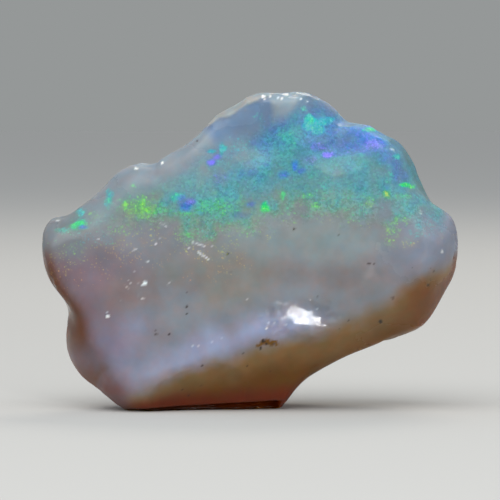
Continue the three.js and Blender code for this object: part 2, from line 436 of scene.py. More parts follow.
# %% The facet that catches the light
# Its place is x and z in mm, and its reach is how far it goes across and up. Its depth is that
# of the skin round its middle, and a little more. Noise makes its edge ragged, and the edge
# blends into the skin between the two shares of its reach.
FACET_PLACE = (3.9, 7.2)
FACET_REACH = (2.1, 1.2)
FACET_FACING = towards(9.5, 6)
FACET_MIDDLE = 0.2
FACET_SINK = 0.02
FACET_RAGGED = 0.3
FACET_EDGE = (1.4, 0.5)

from_facet = points[:, [0, 2]] - FACET_PLACE
away = np.hypot(*(from_facet / FACET_REACH).T) + FACET_RAGGED * noise_at(points, 0.7, 6)
front = points[:, 1] < 0
skin_y = points[front & (np.hypot(*from_facet.T) < FACET_MIDDLE), 1].mean() + FACET_SINK
plane_y = skin_y - (from_facet @ [FACET_FACING.x, FACET_FACING.z]) / FACET_FACING.y
points[:, 1] += (plane_y - points[:, 1]) * step(*FACET_EDGE, away) * front
set_points(net, points)
print("facet's depth in the stone, in mm:", round(skin_y, 2))

# %% [markdown]
# ## Chips and the broken back
# The sharp rims of a break lose small chips, and the back, which the photograph doesn't show, is
# taken to be broken in the same way as the front. Both are shells too, and chance places them:
# small ones where the skin stands out from a rounder copy of itself, and wide ones behind. That
# is quicker than placing each by hand, and the seed gives the same stone every time.

# %% Chips along the rims and facets behind
# Each radius and depth is a range in mm. The rims are the part of the skin that stands out
# most, as a percentage of it.
CHIPS = 90
CHIP_RADIUS = (1.0, 2.4)
CHIP_DEPTH = (0.02, 0.06)
BACK_FACETS = 26
FACET_RADIUS = (6.0, 12.0)
FACET_DEPTH = (0.08, 0.2)
TILT = 0.25
ROUNDER_ROUNDS = 60
RIM_PERCENT = 8
# How far the skin must face backwards to count as the back.
BEHIND = 0.5
CHIP_SEED = 7

rounder = smoothed(net, ROUNDER_ROUNDS)
directions = directions_of(rounder)
bulge = np.einsum("ij,ij->i", points - points_of(rounder), directions)
draw = random.Random(CHIP_SEED)
rims = np.flatnonzero(bulge > np.percentile(bulge, 100 - RIM_PERCENT))
behind = np.flatnonzero(directions[:, 1] > BEHIND)
# The facets fade out towards the rim, which keeps its outline.
off_the_rim = step(0.0, BEHIND, directions[:, 1])[:, None]
for places, count, radii, depths, share in (
    (rims, CHIPS, CHIP_RADIUS, CHIP_DEPTH, 1.0),
    (behind, BACK_FACETS, FACET_RADIUS, FACET_DEPTH, off_the_rim),
):
    for _ in range(count):
        i = draw.choice(places)
        tilt = Vector([draw.uniform(-TILT, TILT) for _ in range(3)])
        press_shell(points, Vector(points[i]), Vector(directions[i]) + tilt,
                    draw.uniform(*radii), draw.uniform(*depths), CHIP_SOFTNESS, share)
set_points(net, points)
print(CHIPS, "chips and", BACK_FACETS, "facets")

# %% [markdown]
# ## Under the lip
# The front edge of the foot stands a little clear of the ground, and more so to the right. The
# skin below that edge is pushed back, so that the edge throws a shadow. The gap is made here
# because the plain solid's triangles are about as large as it is high.

# %% Under the lip
# The lip is the lower edge of the flank, as x and z in mm. The undercut is how far the skin goes
# back, and the wall how high the step to it is. It fades out between the two places x at its
# right-hand end.
LIP = [(-12, 0.0), (-10.4, 0.05), (-8, 0.22), (3.1, 0.78), (4.0, 1.2)]
LIP_UNDERCUT = 1.3
LIP_WALL = 0.14
LIP_FRONT = (0.05, 0.3)
LIP_END = (2.8, 1.6)

directions = directions_of(net)
under_lip = np.interp(points[:, 0], *zip(*LIP)) - points[:, 2]
mask = step(0, LIP_WALL, under_lip) * step(*LIP_FRONT, -directions[:, 1])
mask *= step(*LIP_END, points[:, 0])
points[:, 1] += LIP_UNDERCUT * mask
set_points(net, points)
print(np.count_nonzero(mask), "points pushed back under the lip")

# %% [markdown]
# ## Ripples and glints
# Even a fresh break isn't quite smooth. Low waves bend the reflections, and fine ones break up
# the highlights. They are made here as noise of three sizes, each much lower than long. A few
# tiny knobs and scratches catch the light, and they are painted white too, as bruising and as
# painted glints.

# %% Ripples
# Each has a length and a height in mm, and a seed.
RIPPLES = [
    (4.2, 0.022, 2),
    (1.6, 0.008, 3),
    (0.6, 0.0025, 4),
]
# The small facet is rougher: from how many mm off its middle, and fully from how many.
ROUGH_REACH = (1.3, 0.5)
ROUGH_SIZE = 0.5
ROUGH_HEIGHT = 0.005

net = smoothed(net, 1)
points = points_of(net)
directions = directions_of(net)
height = sum(tall * noise_at(points, long, seed) for long, tall, seed in RIPPLES)
away = np.hypot(*(points[:, [0, 2]] - FACET_PLACE).T)
height += ROUGH_HEIGHT * noise_at(points, ROUGH_SIZE, 5) * step(*ROUGH_REACH, away)
print("ripples, in mm:", round(height.min(), 3), "to", round(height.max(), 3))

# %% Glints
# Each knob has a place, as x and z, and a radius, and each scratch has two ends and half its
# width, all in mm as the camera sees them.
KNOBS = [
    # on the left-hand bump and at the notch
    (-14.8, 14.4, 0.17), (-8.75, 18.4, 0.22), (-6.75, 18.8, 0.19), (-7.1, 18.6, 0.12),
    # along the crest
    (1.0, 23.9, 0.2), (1.15, 23.7, 0.15), (1.55, 23.9, 0.16), (2.15, 23.8, 0.15),
    (2.45, 23.75, 0.16), (3.9, 23.7, 0.15), (4.4, 23.5, 0.14),
    # right-hand side
    (10.45, 19.8, 0.12), (13.1, 14.9, 0.13), (13.1, 15.1, 0.12), (14.75, 12.0, 0.16),
    # bruised part of the face, on the left
    (-11.65, 12.95, 0.13), (-7.25, 12.6, 0.15), (-6.9, 13.0, 0.11), (-7.9, 11.2, 0.14),
    (-4.75, 12.25, 0.13), (-2.95, 12.4, 0.11), (-8.1, 9.55, 0.24), (-8.25, 9.4, 0.15),
    (-9.2, 9.6, 0.13), (-8.6, 9.5, 0.11), (-9.35, 9.75, 0.1), (-8.25, 8.4, 0.15),
    (-9.9, 8.25, 0.11), (-6.25, 9.6, 0.12), (-6.4, 9.4, 0.11), (-6.1, 9.75, 0.1),
    (-8.9, 10.4, 0.12), (-10.95, 7.0, 0.18), (-11.0, 7.3, 0.11), (-11.2, 6.1, 0.1),
    # along the ridge
    (1.25, 6.1, 0.17), (1.4, 6.45, 0.14), (1.85, 6.55, 0.12), (2.7, 6.35, 0.13), (5.1, 7.55, 0.13),
    (4.6, 8.25, 0.12), (-0.25, 8.35, 0.12), (-4.4, 4.7, 0.12), (-4.0, 4.7, 0.12), (-3.7, 4.65, 0.1),
    (-2.95, 5.05, 0.11), (-2.2, 5.35, 0.1),
]
SCRATCHES = [
    ((-6.9, 14.2), (-6.4, 13.85), 0.11),
    ((-4.5, 12.8), (-4.3, 12.55), 0.12),
    ((-4.15, 12.6), (-3.5, 12.4), 0.12),
    ((-4.0, 11.95), (-3.15, 11.35), 0.13),
    ((-9.6, 9.35), (-9.3, 9.15), 0.11),
    ((-9.05, 12.05), (-8.7, 12.15), 0.11),
    ((-8.65, 8.75), (-8.65, 8.5), 0.1),
    ((3.0, 23.85), (3.6, 23.8), 0.11),
    ((10.85, 19.85), (11.05, 19.8), 0.14),
    ((8.2, 21.75), (8.75, 21.65), 0.11),
]
# A knob is a very short scratch. One with this radius or more is as high as they come.
KNOB_LENGTH = 0.02
KNOB_HEIGHT = 0.03
FULL_RADIUS = 0.2
KNOB_FRONT = (0.2, 0.5)

knob_lines = [((left, z), (left + KNOB_LENGTH, z), radius) for left, z, radius in KNOBS]
knob_lines += SCRATCHES
seen = as_seen(points)
knobs = np.zeros(len(points))
for start, end, radius in knob_lines:
    reach = np.abs(across_line(seen, [start, end])[0])
    knobs = np.maximum(knobs, (1 - (reach / radius) ** 2) * min(1, radius / FULL_RADIUS))
knobs *= step(*KNOB_FRONT, -directions[:, 1])
height += KNOB_HEIGHT * knobs

points += directions * height[:, None]
points[:, 2] = np.maximum(points[:, 2], 0)
set_points(net, points)
net.polygons.foreach_set("use_smooth", [True] * len(net.polygons))
print(len(knob_lines), "knobs and scratches")

# %% [markdown]
# ## Where the colours lie
# Colour in opal lies in layers that formed level in the seam, so most of its masks follow
# height in the stone, with soft noise to break them up. Nodes alone could do that, but other
# masks follow the lines of the ledges. So each mask is worked out here and kept on the points
# under a name, and the material reads it by that name.
# Some masks paint light and shade rather than the stone's own colour: painted shade and warm light
# through the stone on the flank, the foot and the lower left, painted warm light at the thin edges,
# painted light on the crest's rim, painted shade on the right-hand bevel, and painted glints.

# %% Measures that the masks share
# The flank's top is the foot of the lavender face, where the warm flank begins, as x and z in
# mm. The side is the way that the skin faces once all small forms are smoothed out.
FLANK_TOP = [(-16, -2.0), (-11.2, -0.3), (-10.2, 0.4), (-9.2, 0.85), (-7.7, 1.45), (-6.2, 2.1),
             (-4.9, 3.1), (-3.1, 3.8), (-1.4, 3.9), (0.6, 5.1), (3.1, 5.4), (6.2, 6.0),
             (8.0, 6.8), (9.5, 7.6), (11.1, 8.6), (13.2, 10.3), (15.6, 11.4), (17, 11.7)]
SIDE_ROUNDS = 160

x, z = as_seen(points).T
back = directions_of(net)[:, 1]
side = directions_of(smoothed(net, SIDE_ROUNDS))[:, 0]
below = np.interp(x, *zip(*FLANK_TOP)) - z
above_lip = points[:, 2] - np.interp(x, *zip(*LIP))
cloud = noise_at(points, 5.0, 11)
wisp = noise_at(points, 1.8, 12)
fleck = noise_at(points, 0.5, 13)
crumb = noise_at(points, 0.22, 15)
right_of_crest, past_crest = across_line(seen, LEDGES["crest, left"][0])
face_of_bevel, past_bevel = across_line(seen, LEDGES["right bevel"][0])
left_of_tongue = across_line(seen, LEDGES["tongue, left"][0])[0]
right_of_tongue = -across_line(seen, LEDGES["tongue, right"][0])[0]
face_of_end, past_end = across_line(seen, LEDGES["right end"][0])
left_of_fold = -across_line(seen, LEDGES["corner fold"][0])[0]


def from_oval(middle_x, middle_z, half_width, half_height):
    """How far each point lies from the middle of an oval. It is 1 on the oval itself."""
    return np.hypot((x - middle_x) / half_width, (z - middle_z) / half_height)


# %% Specks, a stain and matt places
# Each speck has its x, z and radius in mm. One smaller than the dark radius is fainter too.
SPECKS = [
    (-1.7, 11.8, 0.1), (-1.5, 10.45, 0.07), (3.4, 13.7, 0.1), (6.85, 13.3, 0.06),
    (-4.05, 20.5, 0.07), (-3.85, 15.8, 0.08), (9.15, 11.05, 0.1), (9.5, 11.0, 0.08),
    (12.45, 10.8, 0.07), (14.15, 10.5, 0.07), (13.9, 10.7, 0.05), (13.7, 9.4, 0.1),
    (13.9, 9.8, 0.06), (10.95, 8.4, 0.09), (10.05, 6.6, 0.15), (7.6, 6.7, 0.06),
    (6.85, 6.0, 0.05), (5.2, 8.5, 0.06), (3.6, 9.85, 0.05), (-4.9, 8.8, 0.06),
    (-4.9, 7.75, 0.09), (-4.85, 7.2, 0.08), (-7.2, 5.6, 0.08), (-6.2, 5.65, 0.09),
    (-7.3, 5.9, 0.05), (-3.7, 3.2, 0.08), (-3.7, 1.7, 0.07), (-4.7, 0.95, 0.06),
    (-5.2, 1.35, 0.06), (-0.25, 3.2, 0.07), (1.6, 2.75, 0.05), (3.1, 3.85, 0.05),
    (-0.5, 4.15, 0.05),
    # in the stain
    (1.0, 5.1, 0.15), (0.8, 4.55, 0.11), (1.25, 4.9, 0.09), (1.8, 4.9, 0.08),
]
DARK_RADIUS = 0.09
# The stain is a crumbly line.
STAIN = [(0.7, 4.75), (1.0, 5.05), (2.0, 4.95)]
# Places that have lost their gloss: x, z and half their width and height.
MATT_PLACES = [
    (8.6, 21.4, 2.6, 1.7), (-6.0, 18.0, 5.0, 2.4), (-12.5, 14.6, 3.0, 1.6),
    (-1.8, 22.6, 3.0, 1.2), (13.3, 12.0, 3.2, 2.6), (4.9, 21.4, 1.8, 1.3),
    (11.3, 5.4, 2.8, 1.2),
]

stain = np.abs(across_line(seen, STAIN)[0]) + 0.12 * fleck + 0.16 * crumb
speck = np.zeros(len(points))
for speck_x, speck_z, radius in SPECKS:
    spot = step(1.4, 0.6, from_oval(speck_x, speck_z, radius, radius))
    speck = np.maximum(speck, spot * min(1, radius / DARK_RADIUS))
matt = np.zeros(len(points))
for oval in MATT_PLACES:
    matt = np.maximum(matt, step(1.3, 0.1, from_oval(*oval)))
print(len(SPECKS), "specks and", len(MATT_PLACES), "matt places")

# %% Masks for the body
# In every step the first number is where a tint begins and the second where it is full, in mm,
# or in shares where it measures an oval or the way that the skin faces.
MASKS = {
    "top": step(12.5, 20.5, z + 1.2 * cloud),
    "right_end": step(8, 14, x) * step(8, 12, z),
    "upper_right": step(-3.0, 2.0, x + cloud) * step(15.5, 18.5, z + 0.8 * cloud),
    "left_tip": step(-11.5, -13.5, x) * step(11.0, 12.5, z),
    "left_end": step(-5, -13, x + cloud) * step(13.5, 10.5, z),
    "tan_cloud": 0.8 * step(1.3, 0.3, from_oval(-2.2, 10.4, 6, 2.6) + 0.5 * cloud + 0.2 * wisp),
    "tan_right": 0.8 * step(1.3, 0.3, from_oval(8.0, 10.2, 7, 1.6) + 0.5 * cloud + 0.2 * wisp),
    "ridge_glow": (np.exp(-((below + 0.9 + 0.3 * wisp) / (1.1 + 0.1 * np.clip(-x, 0, 10))) ** 2)
                   * (0.6 + 0.4 * step(-9, -3, x)) * step(-13, -9, x) * step(7.5, 2, x)),
    "milky_spot": 0.5 * np.exp(-((x + 8.7) ** 2 + (z - 6.2) ** 2) / 1.3),
    "low_glow": 0.6 * np.exp(-((x + 10.6) ** 2 / 4 + (z - 4.4) ** 2 / 3)),
    "tan_left": 0.6 * step(1.3, 0.3, from_oval(-9.0, 8.6, 2.6, 1.8) + 0.4 * cloud + 0.2 * wisp),
    # Painted shade and painted warm light through the stone: the flank faces down, and it is darker
    # and warmer the lower it lies.
    "shaded_warm_flank": step(-0.8 - 0.5 * step(-4, -7, x), 1.2, below + 0.4 * wisp),
    "deep_shaded_flank": step(0.4, 3.2, below + 0.4 * wisp),
    # Painted shadow along the foot: the lowest strip of the flank and the skin under the lip, dark
    # and warm.
    "shaded_foot": step(1.7, 0.2, above_lip + 0.2 * wisp) * step(-0.2, 1.4, below),
    "pale_right": step(1.2, 0.2, from_oval(5.0, 13.2, 8, 2.4) + 0.4 * cloud),
    # Painted shade and painted warm light through the stone at the lower left: darker and warmer
    # there, most of all in the hollow left of the fold and on the lobe beside it.
    "shaded_low_left": step(-8.5, -12.5, x + 0.4 * z + 0.6 * wisp) * step(6.0, 2.0, z),
    "shaded_scoop": step(-0.1, 0.5, left_of_fold) * step(3.6, 2.2, z + 0.3 * wisp) * step(-10.5, -11.5, x),
    "shaded_lobe": step(3.4, 1.2, z + 0.3 * wisp) * step(-8.5, -10.5, x) * step(0.3, 0.0, left_of_fold),
    # Painted shade and painted warm light through the stone at the lower right.
    "shaded_right_low": step(10.5, 14.0, x + 0.4 * wisp) * step(10.6, 8.6, z),
    # Painted warm light through the thin edges: the rim at the right-hand end, and the edge that
    # faces left.
    "warm_lit_right_rim": step(0.1, -0.4, face_of_end) * step(1.2, 0.1, past_end) * step(0.5, 0, back),
    "warm_lit_edge": (step(0.1, 0.7, -side) * step(13.5, 10.0, z + 0.6 * cloud)
                  * (0.3 + 0.7 * step(3.5, 5.5, z))),
    # Painted light: a pale band along the rim of the crest, where the thin edge catches the light.
    "lit_crest_rim": (step(0.03, -0.07, right_of_crest) * step(-1.4, -0.9, right_of_crest)
                  * step(0.5, 0.0, past_crest)),
    "crest_hollow": (step(0.0, 0.15, right_of_crest) * step(2.4, 0.9, right_of_crest)
                     * step(-0.3, 0.1, left_of_tongue) * step(1.0, 0.1, past_crest)),
    "tongue": (step(0.3, -0.3, left_of_tongue) * step(0.3, -0.4, right_of_tongue)
               * step(21.3, 23.0, z)),
    # Painted shade and painted dark reflection: the bevel down the right-hand rim faces away from
    # the light.
    "shaded_bevel": (0.55 * step(0.0, -0.3, face_of_bevel) * step(0.8, 0.1, past_bevel)
                   * step(0.4, 0, back)),
    "stain": step(0.28, 0.1, stain) * step(0.2, 0.5, -back),
    "speck": speck * step(0.2, 0.5, -back),
    # White bruising and painted glints on the knobs and scratches.
    "bruise_and_glint": step(0.3, 0.9, knobs),
    "matt": matt,
}
print(len(MASKS), "masks for the body")

# %% [markdown]
# ## The layer that flashes
# The play of colour fills one layer across the upper half of the stone. Its smallest balls of
# silica give only blue, and larger ones give green, yellow and orange, so the hue follows the
# height in the layer. Noise alone would scatter the wider flashes anywhere, so each of these is
# an oval with a hue of its own, and the noise only frays its edge.

# %% The layer that flashes
# It lies between these two lines, as x and z in mm.
FIRE_FLOOR = [(-16, 12.6), (-14.6, 12.8), (-10, 13.8), (-7.7, 14.4), (-3.8, 13.0), (0, 13.6),
              (3.8, 15.0), (7.7, 14.7), (11.5, 14.1), (16, 13.5)]
FIRE_ROOF = [(-16, 14.6), (-12, 15.6), (-9, 16.4), (-6, 17.3), (-4, 18.9), (-2.5, 20.4),
             (0, 21.2), (2.5, 22.8), (16, 24.5)]
# How the hue rises with the height above the layer's floor, in mm. Hue 0 is orange, then come
# yellow, green, teal and blue, and 1 is violet.
LAYER_HEIGHTS = [-4.5, -1.0, 0.4, 1.2, 2.0, 4.6, 6.2, 9.0]
LAYER_HUES = [0.0, 0.17, 0.46, 0.55, 0.60, 0.63, 0.68, 0.76]
# On the right the hue is no lower than this, down to the layer's floor.
RIGHT_HUE = 0.58
# The sparks lie in the left half, as far as this many mm below the layer.
SPARK_REACH = 5.0

floor_line = np.interp(x, *zip(*FIRE_FLOOR))
roof_line = np.interp(x, *zip(*FIRE_ROOF))
drift = noise_at(points, 3.5, 21)
grain = noise_at(points, 1.2, 22)
rise = z - floor_line + 0.8 * grain
fire = step(-1.2, 1.0, rise) * step(1.2, -1.4, z - roof_line + 0.6 * grain)
# It drifts in strength, is faint towards the left-hand tip and ends short of both ends.
fire *= np.clip(0.72 + 0.5 * drift + 0.35 * grain, 0.1, 1) * (0.3 + 0.7 * step(-12, -6, x))
fire *= step(-15.5, -13, x) * step(15.6, 14.2, x)
# The faces broken along the crest and the right-hand rim have less of it.
fire *= (1 - MASKS["lit_crest_rim"]) * (1 - 0.8 * MASKS["tongue"]) * (1 - 0.7 * MASKS["shaded_bevel"])
sparks = step(-SPARK_REACH, -0.5, rise) * step(0.8, -0.6, rise) * step(2, -4, x)
sparks *= step(-0.7, 0.4, grain + 0.5 * drift)
haze_hue = np.interp(rise + 0.8 * drift, LAYER_HEIGHTS, LAYER_HUES) + 0.05 * grain + 0.04 * fleck
haze_hue = np.maximum(haze_hue, RIGHT_HUE * step(4, 9, x) * step(-1.0, 0.5, rise))
print(f"layer: {np.mean(fire > 0.5):.2f} of the skin")

# %% Places of their own colour
# Each has its x, z, half its width and height in mm, its hue and its strength.
YELLOW, LIME, GREEN, EMERALD = 0.18, 0.34, 0.43, 0.47
MINT, TEAL, BLUE, VIOLET = 0.57, 0.63, 0.79, 0.97
FLASHES = [
    # left-hand tip
    (-13.1, 14.15, 0.55, 0.28, EMERALD, 1.1),
    (-13.5, 13.9, 0.4, 0.25, EMERALD, 0.9),
    (-12.8, 13.85, 0.3, 0.13, BLUE, 0.9),
    (-14.3, 13.6, 0.6, 0.2, MINT, 0.6),
    (-13.0, 15.0, 0.3, 0.3, TEAL, 0.8),
    (-12.2, 14.8, 0.4, 0.3, LIME, 0.2),
    (-11.9, 13.0, 1.5, 0.5, TEAL, 0.15),
    (-10.8, 16.3, 0.28, 0.35, TEAL, 0.9),
    (-10.9, 15.7, 0.3, 0.4, MINT, 0.8),
    # yellow-green cluster
    (-9.6, 15.5, 0.22, 0.45, LIME, 0.65),
    (-9.2, 15.0, 0.5, 0.22, LIME, 0.55),
    (-8.3, 15.7, 0.28, 0.45, LIME, 0.85),
    (-8.0, 15.2, 0.45, 0.25, LIME, 0.75),
    (-7.45, 14.95, 0.45, 0.18, GREEN, 0.65),
    (-8.6, 15.4, 1.4, 0.8, LIME, 0.4),
    (-9.0, 17.0, 0.3, 0.3, GREEN, 0.35),
    (-9.3, 16.2, 0.3, 0.3, GREEN, 0.35),
    (-6.6, 15.1, 0.5, 0.3, GREEN, 0.35),
    (-8.2, 14.6, 0.8, 0.25, LIME, 0.3),
    (-9.9, 13.55, 0.5, 0.35, LIME, 0.25),
    # between the cluster and the middle
    (-5.6, 16.2, 0.65, 0.35, MINT, 0.75),
    (-5.1, 15.8, 0.4, 0.35, BLUE, 0.5),
    (-4.9, 15.4, 0.4, 0.35, BLUE, 0.9),
    (-4.5, 15.8, 0.3, 0.25, VIOLET, 0.5),
    (-5.3, 14.9, 0.8, 0.2, GREEN, 0.3),
    (-4.7, 13.3, 0.5, 0.3, GREEN, 0.35),
    (-3.0, 18.85, 0.28, 0.2, VIOLET, 1.0),
    (-2.55, 19.25, 0.3, 0.16, VIOLET, 0.8),
    (-2.95, 19.65, 0.4, 0.16, TEAL, 1.0),
    (-2.1, 19.85, 0.3, 0.4, TEAL, 1.1),
    (-0.9, 20.0, 1.0, 0.7, TEAL, 0.3),
    (-1.5, 18.9, 0.9, 0.4, TEAL, 0.25),
    (-2.2, 17.7, 0.4, 0.4, VIOLET, 0.2),
    (0.15, 18.1, 0.4, 0.25, BLUE, 0.3),
    (0.8, 22.3, 0.5, 0.35, MINT, 0.3),
    (-2.6, 15.4, 1.8, 0.6, GREEN, 0.2),
    # middle
    (1.15, 15.45, 0.38, 0.4, GREEN, 1.4),
    (2.55, 16.3, 0.2, 0.25, GREEN, 0.7),
    (0.1, 15.6, 0.32, 0.22, BLUE, 0.75),
    (-0.5, 14.8, 0.5, 0.2, BLUE, 0.4),
    (2.6, 17.9, 0.36, 0.25, BLUE, 0.85),
    (3.45, 18.7, 0.22, 0.35, BLUE, 0.9),
    (3.95, 18.2, 0.35, 0.2, BLUE, 0.7),
    (4.4, 16.3, 0.4, 0.2, GREEN, 0.3),
    (5.0, 15.5, 0.5, 0.25, LIME, 0.3),
    (6.1, 16.9, 0.6, 0.4, MINT, 0.25),
    (4.7, 17.9, 0.25, 0.5, MINT, 0.35),
    # upper right
    (6.6, 20.8, 1.9, 1.0, BLUE, 0.45),
    (5.95, 19.4, 0.5, 0.2, VIOLET, 1.0),
    (5.3, 20.0, 0.5, 0.25, VIOLET, 0.3),
    (4.6, 19.1, 0.5, 0.3, VIOLET, 0.2),
    (5.0, 21.6, 0.75, 0.6, TEAL, 1.2),
    (4.6, 22.2, 0.4, 0.3, MINT, 1.1),
    (5.6, 21.9, 0.45, 0.3, TEAL, 1.1),
    (6.3, 22.15, 0.25, 0.2, TEAL, 1.4),
    (4.2, 22.95, 0.25, 0.2, MINT, 0.5),
    (3.0, 20.9, 0.9, 0.9, MINT, 0.25),
    (2.9, 20.7, 0.5, 0.3, MINT, 0.4),
    (8.9, 20.8, 1.2, 0.7, BLUE, 0.9),
    (8.3, 20.0, 1.5, 0.5, BLUE, 0.7),
    (9.6, 20.2, 0.5, 0.3, VIOLET, 0.3),
    (9.3, 21.35, 0.5, 0.16, GREEN, 0.6),
    (8.5, 19.4, 0.3, 0.15, MINT, 0.4),
    # down the right-hand rim
    (10.6, 19.3, 0.6, 0.5, BLUE, 0.5),
    (11.2, 18.4, 0.4, 0.9, BLUE, 0.55),
    (11.3, 19.3, 0.28, 0.22, TEAL, 0.9),
    (11.7, 17.9, 0.5, 0.4, BLUE, 0.5),
    (10.7, 17.9, 0.3, 0.6, MINT, 0.3),
    (12.0, 17.1, 0.42, 0.16, GREEN, 1.0),
    (12.4, 16.95, 0.25, 0.14, GREEN, 0.8),
    (11.8, 16.2, 0.5, 0.3, GREEN, 0.25),
    (10.5, 16.4, 0.35, 0.3, YELLOW, 0.35),
    (9.2, 15.8, 0.3, 0.4, LIME, 0.25),
    # grains on the right below the layer
    (10.9, 13.2, 0.7, 1.0, LIME, 0.34),
    (10.6, 12.6, 0.8, 0.5, LIME, 0.3),
    (12.0, 12.5, 0.8, 0.4, YELLOW, 0.34),
    (11.6, 14.1, 0.7, 0.5, LIME, 0.25),
    (13.0, 13.5, 1.0, 0.6, TEAL, 0.22),
    (14.0, 14.1, 1.0, 0.8, TEAL, 0.2),
    (3.4, 14.3, 0.25, 0.2, LIME, 0.3),
    (1.4, 13.0, 0.3, 0.3, YELLOW, 0.25),
]

# %% Masks for the play of colour
# A flash ends at this many times its half width. The blue and violet ones are smoother: they
# fade out more slowly and have only a share of the grains.
FLASH_END = 1.5
SMOOTH_END = 1.9
SMOOTH_GRAINS = 0.35
# How strongly the grains colour the layer, how much less the sparks and more the flashes.
POWER, LESS_IN_SPARKS, MORE_IN_FLASHES = 0.45, 0.12, 0.55

grain_hue = haze_hue.copy()
flash = np.zeros(len(points))
glow = np.zeros(len(points))
for *oval, tint, strength in FLASHES:
    smooth = tint >= BLUE
    end = SMOOTH_END if smooth else FLASH_END
    near = step(end, 0.3, from_oval(*oval) + 0.5 * fleck + 0.2 * wisp) * step(0.1, 0.4, -back)
    full = np.clip(near * strength, 0, 1)
    haze_hue += (tint - haze_hue) * near * np.clip(1.5 * strength, 0, 1)
    grain_hue += (tint - grain_hue) * step(0, 0.4, near)
    flash = np.maximum(flash, full * (SMOOTH_GRAINS if smooth else 1))
    glow = np.maximum(glow, full * np.clip(1.3 * strength - 0.3, 0, 1))
MASKS["fire"] = np.clip(fire, 0, 1)
MASKS["haze"] = np.clip(fire * step(-0.8, 2.4, rise) * (1 - 0.5 * MASKS["crest_hollow"]), 0, 1)
MASKS["sparks"] = sparks
MASKS["haze_hue"] = np.clip(haze_hue, 0, 1)
MASKS["grain_hue"] = np.clip(grain_hue, 0, 1)
MASKS["flash"] = flash
MASKS["glow"] = glow
MASKS["power"] = np.clip(POWER - LESS_IN_SPARKS * sparks + MORE_IN_FLASHES * flash, 0, 1)

# %% Keep the masks on the points
for name, values in MASKS.items():
    net.attributes.new(name, "FLOAT", "POINT").data.foreach_set("value", values.astype(np.float32))
    print(f"{name}: {values.mean():.2f} of the skin")

# %% [markdown]
# ## Opal
# Opal is silica laid down as tiny balls with water between them. Its body is milky and lets
# light in, which is subsurface scattering with a reach of a few millimetres. Where the balls
# are stacked evenly they split light into pure colours, in grains like pinheads and in wider
# flashes. Its refractive index is 1.45, and a fresh break is nearly as glossy as glass. A true
# volume could scatter the light too, but it takes longer to render.

# %% Opal: tints of the body
# Each tint is laid over those before it, where its mask is.
BODY = "#898b92"
TINTS = [
    ("tan_cloud", "#8b8780"),
    ("tan_right", "#887f80"),
    ("left_end", "#84747f"),
    ("tan_left", "#8a7b79"),
    ("low_glow", "#83809d"),
    ("top", "#8795a1"),
    ("right_end", "#868c9e"),
    ("left_tip", "#7a8189"),
    ("upper_right", "#708699"),
    ("pale_right", "#8e9a9d"),
    # Painted shade and painted warm light through the stone at the lower left.
    ("shaded_low_left", "#887074"),
    ("ridge_glow", "#a1a6c3"),
    ("milky_spot", "#9a9cb6"),
    # Painted shade and painted warm light through the stone, on the flank and at the lower right.
    ("shaded_warm_flank", "#896b41"),
    ("deep_shaded_flank", "#6e4400"),
    ("shaded_right_low", "#724000"),
    # Painted warm light through the thin rim at the right-hand end.
    ("warm_lit_right_rim", "#6c3400"),
    # Painted shade and painted warm light through the stone, in the hollow left of the fold and on
    # the lobe beside it.
    ("shaded_scoop", "#7e5d53"),
    ("shaded_lobe", "#7c585a"),
    # Painted shadow under the lip.
    ("shaded_foot", "#6e2600"),
    # Painted warm light through the thin edge that faces left.
    ("warm_lit_edge", "#643b22"),
    ("crest_hollow", "#718aa8"),
    # Painted light on the rim of the crest.
    ("lit_crest_rim", "#979fa3"),
    ("tongue", "#91a1ad"),
    # Painted shade on the bevel down the right-hand rim.
    ("shaded_bevel", "#3f4f53"),
    ("stain", "#75500f"),
    ("speck", "#2c2218"),
    # White bruising and painted glints on the knobs and scratches.
    ("bruise_and_glint", "#f4f6fa"),
]

opal = bpy.data.materials.new("opal_broken_from_the_seam")
opal.use_nodes = True
tree = opal.node_tree
shader = tree.nodes["Principled BSDF"]
place = add(tree, "ShaderNodeTexCoord").outputs["Object"]
place = add(tree, "ShaderNodeVectorMath", {0: place, "Scale": 1 / MM}, operation="SCALE").outputs[0]
masks = {
    name: add(tree, "ShaderNodeAttribute", attribute_name=name).outputs["Fac"] for name in MASKS
}

# A Mix node takes two colours at its sockets 6 and 7, and its output 2 is the mixed colour.
colour = linear(BODY)
for name, tint in TINTS:
    colour = add(tree, "ShaderNodeMix", {"Factor": masks[name], 6: colour, 7: linear(tint)},
                 data_type="RGBA").outputs[2]
print(len(TINTS), "tints")

# %% Opal: milk and mottle
# The milk makes the body a little darker or lighter in clouds, and the mottle a little warmer
# or cooler in smaller ones. Both sizes are in mm.
MILK_SIZE = 2.2
MILK = (0.93, 1.14)
MOTTLE_SIZE = 0.9
MOTTLE_STOPS = [(0.36, "#fff7f3"), (0.64, "#f3fcfd")]

milk = add(tree, "ShaderNodeTexNoise", {"Vector": place, "Scale": 1 / MILK_SIZE, "Detail": 3.0})
milk = add(tree, "ShaderNodeMapRange",
           {"Value": milk.outputs["Fac"], "From Min": 0.3, "From Max": 0.7,
            "To Min": MILK[0], "To Max": MILK[1]}).outputs[0]
colour = add(tree, "ShaderNodeVectorMath", {0: colour, "Scale": milk}, operation="SCALE").outputs[0]
mottle = add(tree, "ShaderNodeTexNoise", {"Vector": place, "Scale": 1 / MOTTLE_SIZE, "Detail": 3.0})
mottle = add(tree, "ShaderNodeValToRGB", {"Fac": mottle.outputs["Fac"]}, stops=MOTTLE_STOPS)
colour = add(tree, "ShaderNodeVectorMath", {0: colour, 1: mottle.outputs["Color"]},
             operation="MULTIPLY").outputs[0]

